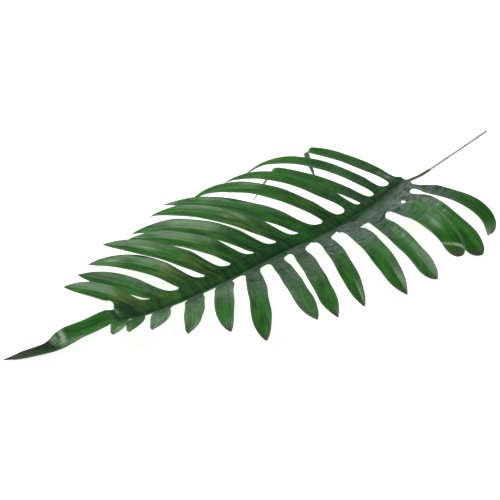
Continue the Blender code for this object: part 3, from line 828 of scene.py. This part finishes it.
# ---- blade ---------------------------------------------------------------------------
@dataclass
class Blade:
    """The comb-shaped blade: web, side lobes and the long end lobe."""

    thickness: float = 0.45
    clearance: float = 1.5         # the veins underneath keep the sheet this high
    columns: int = 16              # across one lobe
    web_rows: int = 8
    notch_rows: int = 6
    lobe_rows: int = 52
    end_rows: int = 64
    camber: float = 0.1            # depth of a lobe's crease, as a share of its width
    edge_wave: float = 0.35        # unevenness of a lobe's edges, mm
    edge_pitch: float = 9.0        # mm per radian of that wave
    edge_phases: tuple[float, float] = (2.1, 1.7)   # its start, by lobe and by side
    bulge_power: float = 1.8       # a lobe is fullest on one side at about 0.7 of its length
    crease_power: float = 1.5      # 1 is a V across the lobe, 2 a round trough
    base_overhang: float = 13.0    # web on the leaf's base side of the first lobes
    end_far_edge: Profile = ((0.0, 21.0), (0.1, 18.0), (0.2, 17.5), (0.4, 18.0), (0.56, 16.0),
                             (0.66, 11.0), (0.85, 8.0), (1.0, 0.0))
    end_near_edge: Profile = ((0.0, 11.0), (0.2, 13.0), (0.4, 17.0), (0.56, 17.0), (0.66, 13.0),
                              (0.85, 9.5), (1.0, 0.0))
    end_rise: float = 16.0         # each half of the end lobe stands up from its crease
    end_skew: float = 0.45         # how far its edges run ahead of its midline where it starts
    blend_steps: int = 6           # how far the web's edge is smoothed into the lobes
    groove_depth: float = 0.5
    groove_width: float = 1.8
    # painted highlight across the end lobe, where its kink catches the light
    kink_scuff: PaintedHighlight = PaintedHighlight(2.2, at=0.49, across=0.4, reach=0.026, width=0.6, slant=-0.07)
    gather_height: float = 7.0
    calm_rim: float = 4.5          # the gathers fade towards the edges, over this many mm
    gather_pitch: float = 6.5
    gather_from: float = 0.22      # share of a lobe's length where the gathers begin to fade
    gather_run: float = 0.5        # share of its length that the fading takes
    wave_height: float = 3.0
    wave_length: float = 55.0
    notch_fade: float = 1.3        # a notch shapes the lobe as far as this many widths
    notch_least: float = 2.0       # depth of its rounding
    notch_spacing: float = 1.6     # above 1 crowds the rows at the notch
    tip_spacing: float = 1.25      # above 1 crowds the rows at the tip
    first_notch: float = 0.5       # how far the outermost notches lie past the last lobes
    last_notch: float = 0.6        # the same beside the end lobe
    web_loose: float = 0.15        # share of the slow waves that reach the web
    end_loose: float = 0.3         # and the end lobe
    web_tone: tuple[float, float] = (0.28, 0.42)    # freshness beside the midrib and at the notches
    lobe_tone: tuple[float, float] = (0.42, 0.8)    # freshness at a lobe's root and at its middle
    end_tone: float = 0.85
    end_tone_to: float = 0.52      # share of the end lobe where its fresh green stops, at the kink
    dry_tip: float = 0.8
    dry_from: float = 0.9          # share of a lobe's length where its tip begins to dry
    end_dry_tip: float = 0.7
    end_dry_from: float = 0.6
    end_map_half: float = 20.0     # mm, half-width of the end lobe's root in the pattern
    sheet: Sheet = field(default_factory=Sheet)
    veins: list[list[int]] = field(default_factory=list)
    spine: list[int] = field(default_factory=list)

    def draw(self) -> None:
        """Lay out the whole sheet in the drawing's place."""
        midrib = Route(MIDRIB_ROUTE)
        near = self._boundaries(NEAR_HALF.lobes, midrib.length)
        far = self._boundaries(FAR_HALF.lobes, (FAR_HALF.lobes[-1].at + midrib.length) / 2)
        far.append(midrib.length)
        stations = [(a + b) / 2 for a, b in zip(near, far)]
        for k, (low, high) in enumerate(zip(stations, stations[1:])):
            for c in range(self.columns):
                self.spine.append(self._spine_point(midrib, mix(low, high, c / self.columns), k))
        self.spine.append(self._spine_point(midrib, stations[-1], len(stations) - 1))
        far_edge = self._half(midrib, FAR_HALF, bare_last=True)
        near_edge = self._half(midrib, NEAR_HALF, bare_last=False)
        self._end_lobe(far_edge, near_edge)

    def build(self, shift: Point) -> bpy.types.Object:
        """Give the sheet its relief, its thickness and its finishes.

        Args:
            shift: from the drawing's place to the frame's, mm.

        Returns:
            The finished blade.
        """
        piece = relief_tree().run(self.sheet.mesh("blade_sheet", shift), "leaf_blade", {
            "Groove depth": self.groove_depth * MM, "Groove width": self.groove_width * MM,
            "Gather height": self.gather_height * MM, "Gather pitch": self.gather_pitch * MM,
            "Wave height": self.wave_height * MM, "Wave length": self.wave_length * MM,
            "Calm rim": self.calm_rim, "Lowest": self.clearance * MM, "Blend steps": self.blend_steps,
            "Seed": float(SHAPE_SEED), "Skin": SKIN.build()})
        piece.data.materials.append(UNDERSIDE.build())
        piece.data.materials.append(CUT_EDGE.build())
        wall = piece.modifiers.new("thickness", "SOLIDIFY")
        wall.thickness = self.thickness * MM
        wall.offset = 0.0
        wall.material_offset = 1
        wall.material_offset_rim = 2
        return piece

    def lines(self, piece: bpy.types.Object) -> tuple[list[Point], list[list[Point]]]:
        """Places of the midrib and of the lobes' veins on the finished blade.

        Args:
            piece: the blade, whose points keep the sheet's order.

        Returns:
            Points along the midrib, then a list of points for each vein, all in mm.
        """
        place = [np.array(vertex.co) / MM for vertex in piece.data.vertices]
        return [place[k] for k in self.spine], [[place[k] for k in vein] for vein in self.veins]

    def _boundaries(self, lobes: tuple[Lobe, ...], last: float) -> list[float]:
        """Stations that part the lobes' roots, from the base to the end lobe."""
        roots = [lobe.at for lobe in lobes]
        return [-self.base_overhang] + [(a + b) / 2 for a, b in zip(roots, roots[1:])] + [last]

    def _spine_point(self, midrib: Route, station: float, lobe: int) -> int:
        """Point where the two halves of the blade meet, at a station of the midrib."""
        return self.sheet.add(midrib.at(station), off_vein=0.0, lobe=lobe, rim=FAR_OFF, fresh=0.1)

    def _half(self, midrib: Route, half: Half, bare_last: bool) -> list[int]:
        """Lay out one half of the blade, from the shared spine outwards.

        Args:
            midrib: line of the midrib.
            half: plan of the half.
            bare_last: end with a stretch of web that has no lobe, beside the end lobe.

        Returns:
            Points from the midrib to the last notch, where the end lobe joins on.
        """
        ribbons = [Ribbon(midrib, half, lobe) for lobe in half.lobes]
        reach = [ribbon.frame(ribbon.web)[0] for ribbon in ribbons]
        webs = [ribbon.web for ribbon in ribbons]
        notches = [reach[0] + (reach[0] - reach[1]) * self.first_notch]
        for a, b, lobe in zip(reach, reach[1:], half.lobes[1:]):
            shift = along(half.shift, lobe.at / midrib.length)
            notches.append((a + b) / 2 - midrib.tangent(lobe.at) * shift)
        if bare_last:
            notches.append(reach[-1] + (reach[-1] - reach[-2]) * self.last_notch)
            level = half.side.value * unit(np.cross(midrib.tangent(midrib.length), UP))
            rise = math.radians(self.end_rise)
            outward = level * math.cos(rise) + UP * math.sin(rise)
            notches.append(midrib.at(midrib.length) + outward * self.end_far_edge[0][1])
            reach.append((notches[-2] + notches[-1]) / 2)
            webs.append(self.end_far_edge[0][1])
        else:
            notches.append(reach[-1] + (reach[-1] - reach[-2]) * self.first_notch)
        grid = self._web(half, reach, webs, notches)
        for k, ribbon in enumerate(ribbons):
            start = k * self.columns
            root = [row[start + self.columns // 2] for row in grid]
            self._lobe(half, ribbon, grid[-1][start:start + self.columns + 1],
                       (notches[k + 1], notches[k]), root, k)
        return [row[-1] for row in grid]

    def _web(self, half: Half, reach: list[Point], webs: list[float],
             notches: list[Point]) -> list[list[int]]:
        """Lay out the web between the midrib and the notches.

        Args:
            half: plan of the half.
            reach: point on each lobe's centre line where the web ends.
            webs: distance of that point from the midrib, for each lobe.
            notches: points between the lobes, from the base to the end lobe.

        Returns:
            Rows of points, from the spine to the notches.
        """
        outer, marks = [], []
        gathers = [along(half.gather, lobe.at / half.lobes[-1].at) for lobe in half.lobes] + [0.0]
        patches = [patch(lobe, web / lobe.length) for lobe, web in zip(half.lobes, webs)] + [0.0]
        for k, centre in enumerate(reach):
            for c in range(self.columns):
                v = -1 + 2 * c / self.columns
                side = notches[k] if v < 0 else notches[k + 1]
                outer.append(centre + (side - centre) * abs(v))
                marks.append((abs(v) * np.linalg.norm(side - centre), webs[k], gathers[k], k,
                              patches[k] * (1 - abs(v) ** 3)))
        outer.append(notches[-1])
        marks.append((np.linalg.norm(notches[-1] - reach[-1]), webs[-1], 0.0, len(reach), 0.0))
        grid = [self.spine]
        for row in range(1, self.web_rows + 1):
            share = row / self.web_rows
            line = []
            for index, point, (off, web, gather, lobe, olive) in zip(self.spine, outer, marks):
                start = self.sheet.points[index]
                line.append(self.sheet.add(
                    mix(start, point, share), off_vein=mix(FAR_OFF, off, share) * MM,
                    reach=web * share * MM, gather=gather * smooth(share * 2),
                    loose=self.web_loose * share, lobe=lobe * FOLD_STEP, rim=FAR_OFF,
                    olive=olive * share, fresh=mix(*self.web_tone, smooth(share * 3)), blend=share**2))
            grid.append(line)
        for row, (low, high) in enumerate(zip(grid, grid[1:])):
            for k in range(len(reach)):
                part = slice(k * self.columns, (k + 1) * self.columns + 1)
                shelf = MAP_STEP * k * half.side.value
                low_map, high_map = (
                    [(mix(-1, 1, c / self.columns) * MAP_HALF + shelf, webs[k] * edge / self.web_rows)
                     for c in range(self.columns + 1)] for edge in (row, row + 1))
                self.sheet.strip(low[part], high[part], low_map, high_map, half.side is Side.FAR)
        return grid

    def _lobe(self, half: Half, ribbon: Ribbon, edge: list[int], corners: tuple[Point, Point],
              root: list[int], number: int) -> None:
        """Lay out one side lobe, from its notches to its tip.

        Args:
            half: plan of the half.
            ribbon: centre line of the lobe.
            edge: last row of the web under this lobe.
            corners: notch on the side of the leaf's tip, then on the side of its base.
            root: points of the web along the lobe's vein.
            number: place of the lobe from the base.
        """
        lobe, web, sheet = ribbon.lobe, ribbon.web, self.sheet
        centre, ahead, across, up = ribbon.frame(web)
        offsets = [np.array([(corner - centre) @ axis for axis in (ahead, across, up)])
                   for corner in corners]
        fade_length = ribbon.width * self.notch_fade
        spread = max(self.notch_least, max(abs(o[1]) for o in offsets) - ribbon.half_width(web))
        near_notch = np.linspace(0, 1, self.notch_rows + 1)[1:] ** self.notch_spacing
        to_tip = 1 - (1 - np.linspace(0, 1, self.lobe_rows + 1)[1:]) ** self.tip_spacing
        distances = [web + spread * x for x in near_notch]
        span = lobe.length - distances[-1]
        distances += [distances[-1] + span * x for x in to_tip]
        shelf = MAP_STEP * number * half.side.value
        previous = edge
        previous_map = [(mix(-1, 1, c / self.columns) * MAP_HALF + shelf, web)
                        for c in range(self.columns + 1)]
        vein = list(root)
        for distance in distances[:-1]:
            centre, ahead, across, up = ribbon.frame(distance)
            fade = 1 - smooth((distance - web) / fade_length)
            open_share = min((distance - web) / spread, 1.0)
            opened = math.sqrt(1 - (1 - open_share) ** 2)
            share = distance / lobe.length
            line, line_map = [], []
            for v in np.linspace(1, -1, self.columns + 1):
                wide = ribbon.half_width(distance, np.sign(v))
                offset = offsets[0 if v < 0 else 1] * abs(v)
                phase = number * self.edge_phases[0] + np.sign(v) * self.edge_phases[1]
                uneven = self.edge_wave * math.sin(distance / self.edge_pitch + phase) * abs(v)
                bulge = lobe.bulge * math.sin(math.pi * share**self.bulge_power)
                sideways = offset[1] * (1 - opened) + (v * wide + uneven - bulge) * opened
                lift = self.camber * 2 * wide * abs(v) ** self.crease_power * (1 - fade)
                point = centre + ahead * offset[0] * fade + across * sideways
                point = point + up * (offset[2] * fade + lift)
                line.append(sheet.add(
                    point, off_vein=abs(sideways) * MM, reach=distance * MM,
                    gather=ribbon.gather * (1 - smooth((share - self.gather_from) / self.gather_run)),
                    loose=mix(self.web_loose, 1.0, smooth(share * 3)), lobe=number * FOLD_STEP,
                    rim=(1 - abs(v)) * wide, olive=patch(lobe, share) * (1 - abs(v) ** 3),
                    # painted highlights where the lobe's bends catch the light
                    scuff=sum(scuff.weight(share, v) for scuff in lobe.scuffs), blend=fade,
                    fresh=mix(*self.lobe_tone, smooth(share * 2.2)),
                    tip=self.dry_tip * smooth((share - self.dry_from) / (1 - self.dry_from))))
                line_map.append((-sideways + shelf, distance))
            sheet.strip(previous, line, previous_map, line_map, half.side is Side.FAR)
            previous, previous_map = line, line_map
            vein.append(line[self.columns // 2])
        tip = sheet.add(ribbon.frame(lobe.length)[0], reach=lobe.length * MM, loose=1.0,
                        lobe=number * FOLD_STEP, fresh=self.lobe_tone[1], tip=self.dry_tip)
        for k in range(self.columns):
            places = [previous_map[k], previous_map[k + 1], (shelf, lobe.length)]
            sheet.face([previous[k], previous[k + 1], tip], places, half.side is Side.FAR)
        self.veins.append(vein)

    def _end_lobe(self, far_edge: list[int], near_edge: list[int]) -> None:
        """Lay out the long end lobe, which carries on from both halves of the web.

        Args:
            far_edge: last points of the far half, from the spine outwards.
            near_edge: last points of the near half, from the spine outwards.
        """
        route = Route(END_LOBE_ROUTE)
        previous = list(reversed(far_edge)) + near_edge[1:]
        count = len(previous)
        shelf = MAP_STEP * len(NEAR_HALF.lobes)
        previous_map = [(mix(1, -1, k / (count - 1)) * self.end_map_half + shelf, 0.0)
                        for k in range(count)]
        vein = []
        for row in range(1, self.end_rows):
            share = row / self.end_rows
            centre = route.at(share * route.length)
            forward = route.tangent(share * route.length)
            level = unit(np.cross(forward, UP))
            skew = 1 - smooth(share * 4)
            rise = math.radians(self.end_rise)
            line, line_map = [], []
            for k in range(count):
                v = 1 - 2 * k / (count - 1)
                edge, way = (self.end_far_edge, 1) if v > 0 else (self.end_near_edge, -1)
                full = along(edge, share)
                wide = full * abs(v)
                outward = level * way * math.cos(rise) + UP * math.sin(rise)
                point = centre + outward * wide + forward * wide * self.end_skew * skew
                line.append(self.sheet.add(
                    point, off_vein=wide * MM, reach=share * route.length * MM, loose=self.end_loose,
                    # painted highlight at the kink
                    lobe=90.0, rim=full - wide, scuff=self.kink_scuff.weight(share, v),
                    fresh=self.end_tone * (1 - smooth((share - self.end_tone_to) / 0.1)),
                    tip=self.end_dry_tip * smooth((share - self.end_dry_from) / 0.3)))
                line_map.append((v * full + shelf, share * route.length))
            self.sheet.strip(previous, line, previous_map, line_map, True)
            previous, previous_map = line, line_map
            vein.append(line[count // 2])
        tip = self.sheet.add(route.at(route.length), reach=route.length * MM, lobe=90.0,
                             tip=self.end_dry_tip)
        for k in range(count - 1):
            places = [previous_map[k], previous_map[k + 1], (shelf, route.length)]
            self.sheet.face([previous[k], previous[k + 1], tip], places, True)
        self.veins.append(vein)


# ---- ribs ----------------------------------------------------------------------------
def line_mesh(name: str, lines: list[list[Point]], radii: list[list[float]]) -> bpy.types.Mesh:
    """Mesh of open lines that carry the thickness of the rib that follows them.

    Args:
        name: name of the mesh.
        lines: points along each line, mm.
        radii: radius of the rib at each of them, mm.

    Returns:
        Mesh of edges in metres, with the attribute rib_radius.
    """
    points, edges, sizes = [], [], []
    for line, sizes_here in zip(lines, radii):
        first = len(points)
        points += [tuple(point * MM) for point in line]
        edges += [(k, k + 1) for k in range(first, first + len(line) - 1)]
        sizes += [radius * MM for radius in sizes_here]
    data = bpy.data.meshes.new(name)
    data.from_pydata(points, edges, [])
    layer = data.attributes.new("rib_radius", "FLOAT", "POINT")
    layer.data.foreach_set("value", sizes)
    return data


@dataclass
class Ribs:
    """Midrib, collar, the lobes' veins and the stalk: all are round ribs along a line."""

    midrib_base: float = 2.2       # radii
    midrib_tip: float = 0.8
    midrib_sink: float = 0.62      # centre of the midrib under the blade, as a share of its radius
    vein_base: float = 0.7
    vein_tip: float = 0.2
    vein_sink: float = 0.55
    collar_radius: float = 2.0
    collar_length: float = 58.0
    collar_lip: float = 1.65       # radius where the stalk comes out
    collar_start: float = -12.0    # its first stretch is hidden in the midrib
    lip_length: float = 4.0
    collar_swell: float = 0.05     # share by which the collar's thickness varies
    collar_pitch: float = 3.0      # mm per radian of that wave
    stalk_radius: float = 1.55
    stalk_swell: float = 0.08      # share by which the stalk's thickness varies
    stalk_pitches: tuple[float, float] = (9.0, 23.0)   # mm per radian of its two waves
    stalk_start: float = 3.0       # how far it begins inside the collar
    blade_half: float = 0.35
    sink: float = 0.5
    tree: ShapeTree = field(default_factory=rib_tree)

    def midrib(self, spine: list[Point], end_vein: list[Point]) -> bpy.types.Object:
        """Midrib, which runs on as the end lobe's vein."""
        radii = [mix(self.midrib_base, self.midrib_tip, k / len(spine)) for k in range(len(spine))]
        line = [point - UP * radius * self.midrib_sink for point, radius in zip(spine, radii)]
        tail = [point - UP * self.vein_sink for point in end_vein]
        radii += [mix(self.midrib_tip, self.vein_tip, k / len(end_vein)) for k in range(len(end_vein))]
        return self._sweep("midrib", [line + tail], [radii], 14, MIDRIB_RIND)

    def veins(self, veins: list[list[Point]]) -> bpy.types.Object:
        """Raised veins under the side lobes."""
        radii = [[mix(self.vein_base, self.vein_tip, k / len(vein)) for k in range(len(vein))]
                 for vein in veins]
        sunk = [[point - UP * self.vein_sink for point in vein] for vein in veins]
        return self._sweep("lobe_veins", sunk, radii, 8, VEIN_RIND)

    def collar(self, shift: Point) -> bpy.types.Object:
        """Green end of the midrib, rounded off where the stalk comes out."""
        route = Route(STALK_ROUTE)
        stations = np.linspace(self.collar_start, self.collar_length, 40)
        line = [route.at(s) + shift - UP * self._drop() for s in stations]
        radii = []
        for s in stations:
            lip = smooth((s - self.collar_length) / self.lip_length + 1)
            swell = 1 + self.collar_swell * math.sin(s / self.collar_pitch)
            radii.append(mix(self.collar_radius, self.collar_lip, lip) * swell)
        return self._sweep("collar", [line], [radii], 20, COLLAR_RIND)

    def stalk(self, shift: Point) -> bpy.types.Object:
        """Thin grey stalk, from inside the collar to its cut end."""
        route = Route(STALK_ROUTE)
        stations = np.linspace(self.collar_length - self.stalk_start, route.length, 90)
        line = [route.at(s) + shift - UP * self._drop() for s in stations]
        waves = [math.prod(math.sin(s / pitch) for pitch in self.stalk_pitches) for s in stations]
        radii = [self.stalk_radius * (1 + self.stalk_swell * wave) for wave in waves]
        return self._sweep("grey_stalk", [line], [radii], 16, STALK_RIND)

    def _drop(self) -> float:
        """How far the collar's middle lies under the blade's."""
        return self.blade_half + self.collar_radius - self.sink

    def _sweep(self, name: str, lines: list[list[Point]], radii: list[list[float]], sides: int,
               rind: FibrousRind) -> bpy.types.Object:
        """Sweep round ribs along the lines and dress them."""
        return self.tree.run(line_mesh(name + "_line", lines, radii), name, {
            "Sides": sides, "Rind": rind.build()})


# ---- studio --------------------------------------------------------------------------
@dataclass(frozen=True)
class Studio:
    """Pale floor, soft light and the camera. Lengths are in metres."""

    floor_size: float = 14.0
    floor_colour: str = "#f4f4f2"
    floor_drop: float = 0.0005     # the board lies this far under the leaf
    floor_roughness: float = 0.8
    floor_glow: float = 0.92       # the board is lit from under, so that shadows on it stay faint
    sky_low: float = 0.7           # brightness at the horizon, where the white board curves up
    sky_high: float = 0.16         # brightness of the room above
    sky_band: tuple[float, float] = (0.05, 0.4)   # heights between which it dims
    key_power: float = 38.0
    key_size: float = 1.6
    key_place: tuple[float, float, float] = (-0.7, 1.1, 1.9)   # from the leaf's centre
    distance: float = 2.413
    look_down: float = 28.0
    look_round: float = 44.0       # from +Y towards +X
    lens: float = 136.8

    def build(self, centre: Point) -> None:
        """Set up everything around the leaf.

        Args:
            centre: point that the camera looks at, mm.
        """
        self._floor()
        self._light(Vector(centre * MM))
        self._camera(Vector(centre * MM))

    def _floor(self) -> None:
        """Flat pale floor just under the leaf."""
        half = self.floor_size / 2
        data = bpy.data.meshes.new("floor")
        corners = [(x * half, y * half, -self.floor_drop) for x, y in ((-1, -1), (1, -1), (1, 1), (-1, 1))]
        data.from_pydata(corners, [], [(0, 1, 2, 3)])
        floor = new_object("floor", data)
        material, tree, shader = new_material("matt white board")
        fill(tree, shader, {
            "Base Color": linear(self.floor_colour), "Roughness": self.floor_roughness,
            "Emission Color": linear(self.floor_colour), "Emission Strength": self.floor_glow})
        data.materials.append(material)

    def _light(self, centre: Vector) -> None:
        """Surroundings that are white near the horizon and dim above, and one large soft light."""
        world = bpy.data.worlds.new("studio")
        world.use_nodes = True
        tree = world.node_tree
        way = add_node(tree, "ShaderNodeTexCoord")
        parts = add_node(tree, "ShaderNodeSeparateXYZ", None, {0: way.outputs["Generated"]})
        bright = remap(tree, parts.outputs["Z"], self.sky_band, (self.sky_low, self.sky_high))
        fill(tree, tree.nodes["Background"], {"Strength": bright, "Color": (1.0, 1.0, 1.0, 1.0)})
        bpy.context.scene.world = world
        data = bpy.data.lights.new("key", "AREA")
        data.shape = "DISK"
        data.size = self.key_size
        data.energy = self.key_power
        light = new_object("key", data)
        light.location = centre + Vector(self.key_place)
        light.rotation_euler = (centre - light.location).to_track_quat("-Z", "Y").to_euler()

    def _camera(self, centre: Vector) -> None:
        """Long lens that looks down on the leaf from its near side."""
        down, turn = math.radians(self.look_down), math.radians(self.look_round)
        level = math.cos(down)
        ahead = Vector((math.sin(turn) * level, math.cos(turn) * level, -math.sin(down)))
        data = bpy.data.cameras.new("camera")
        data.lens = self.lens
        data.clip_end = 50.0
        camera = new_object("camera", data)
        camera.location = centre - ahead * self.distance
        camera.rotation_euler = ahead.to_track_quat("-Z", "Y").to_euler()
        bpy.context.scene.camera = camera
        bpy.context.scene.view_settings.view_transform = "Standard"


def main() -> None:
    """Load the frame, build the leaf around it and set up the studio."""
    logging.basicConfig(level=logging.INFO, format="%(name)s: %(message)s")
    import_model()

    blade = Blade()
    blade.draw()
    drawn_low = np.min(blade.sheet.points, axis=0)
    shift = np.array(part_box("leaf")[0]) / MM - drawn_low
    leaf = blade.build(shift)
    spine, veins = blade.lines(leaf)
    ribs = Ribs()
    rest_on_root(leaf, "leaf")
    rest_on_root(ribs.midrib(spine, veins[-1]), "leaf")
    rest_on_root(ribs.veins(veins[:-1]), "leaf")
    rest_on_root(ribs.collar(shift), "leaf")
    rest_on_root(ribs.stalk(shift), "stalk")
    Studio().build(shift)


if __name__ == "__main__":
    main()
